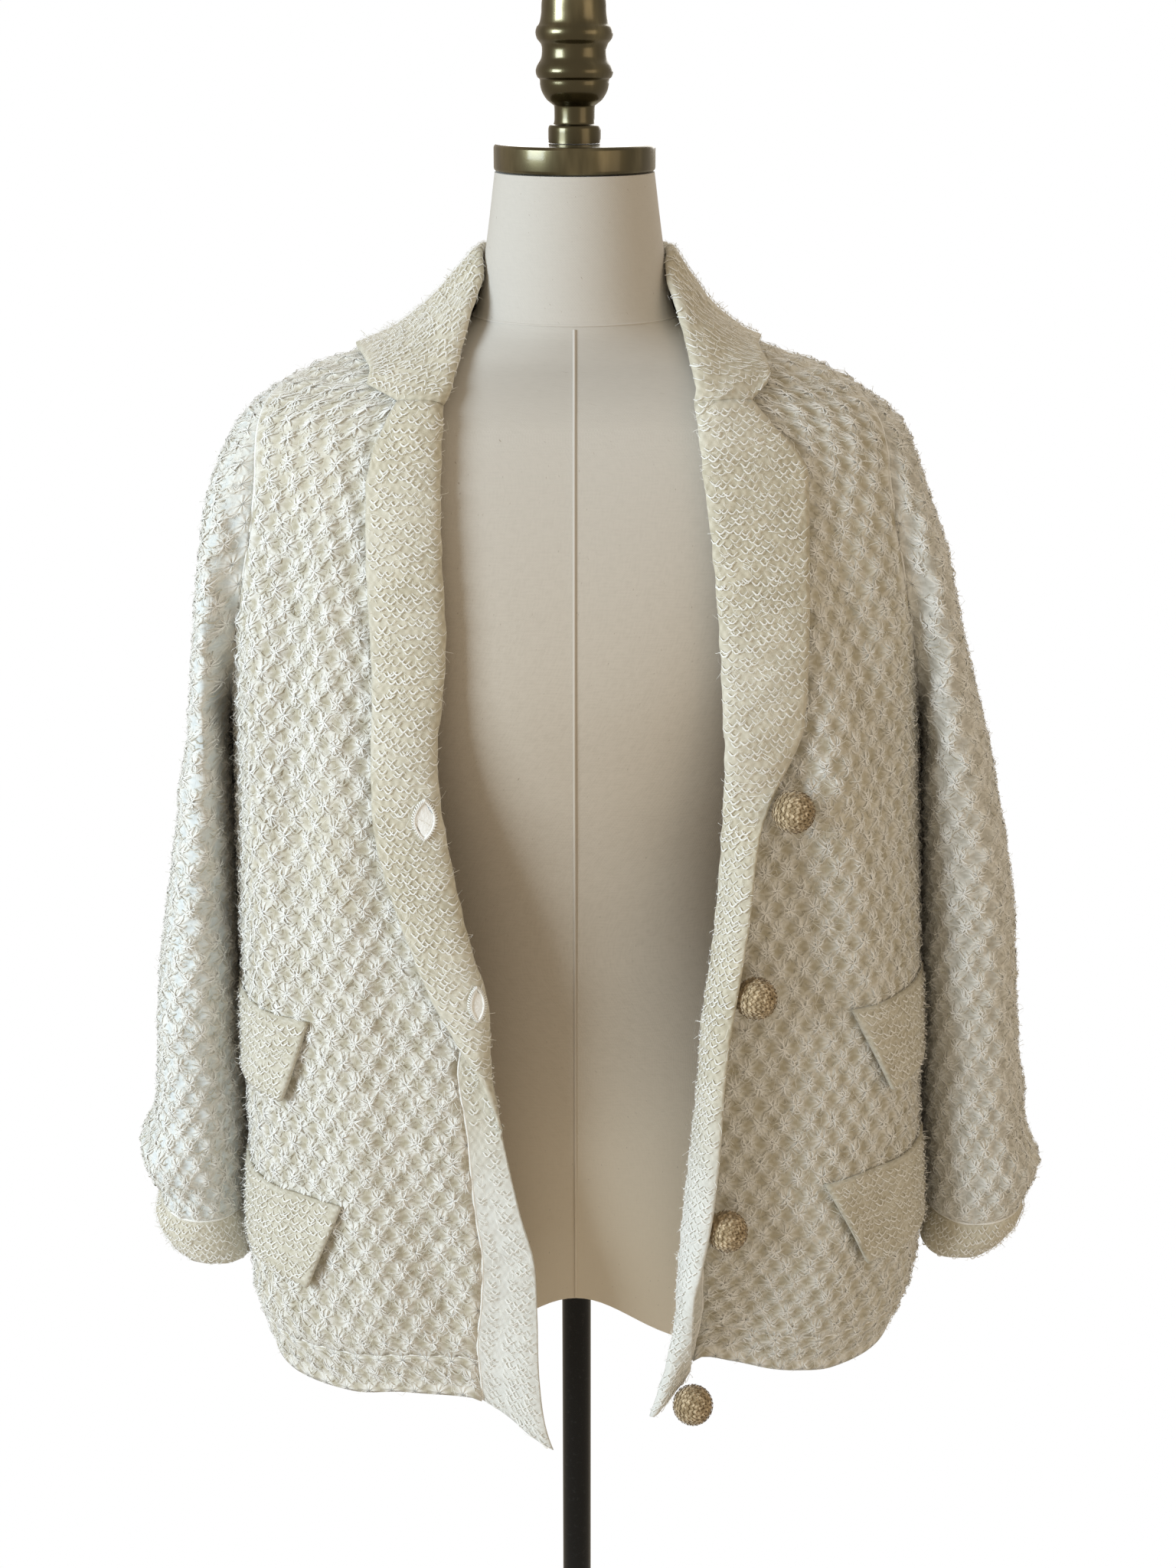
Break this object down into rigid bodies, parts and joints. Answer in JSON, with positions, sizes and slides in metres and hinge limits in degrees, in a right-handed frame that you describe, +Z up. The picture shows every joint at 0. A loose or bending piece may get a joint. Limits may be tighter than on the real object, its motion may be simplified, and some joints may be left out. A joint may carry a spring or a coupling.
{
  "type": "cardigan on a dress form",
  "caption": "Open hip-length knitted cardigan with a notched collar, pocket flaps and ball buttons, standing on a limbless dress form on a round base.",
  "frame": {"origin": "on the floor under the axis of the pole, in the middle of the base's flat underside", "axes": "+Z up along the pole, -Y out of the front of the garment, +X towards the wearer's left"},
  "size_m": [0.5985, 0.3221, 1.5649],
  "materials": {
    "star_knit": "ivory mohair knit in star stitch, soft halo of fibres",
    "plain_knit": "ivory mohair plain knit, thick and soft",
    "garter_knit": "ivory mohair garter knit in ridges",
    "crochet": "beige crochet over a ball",
    "linen": "natural plain-weave linen, stretched smooth",
    "olive_bronze": "glossy olive-bronze lacquer",
    "gloss_black": "gloss black enamel"
  },
  "bodies": {
    "root": {"back": "star_knit", "front_left": "star_knit", "front_right": "star_knit", "sleeve_left": "star_knit", "sleeve_right": "star_knit", "band_left": "plain_knit", "band_right": "plain_knit", "collar": "plain_knit", "cuff_left": "plain_knit", "cuff_right": "plain_knit", "hem_back": "plain_knit", "hem_left": "plain_knit", "hem_right": "plain_knit", "flap_upper_left": "garter_knit", "flap_lower_left": "garter_knit", "flap_upper_right": "garter_knit", "flap_lower_right": "garter_knit", "button_1": "crochet", "button_2": "crochet", "button_3": "crochet", "button_4": "crochet", "form_torso": "linen", "form_neck_cap": "olive_bronze", "form_finial": "olive_bronze", "stand_pole": "gloss_black", "stand_base": "gloss_black"}
  },
  "joints": []
}
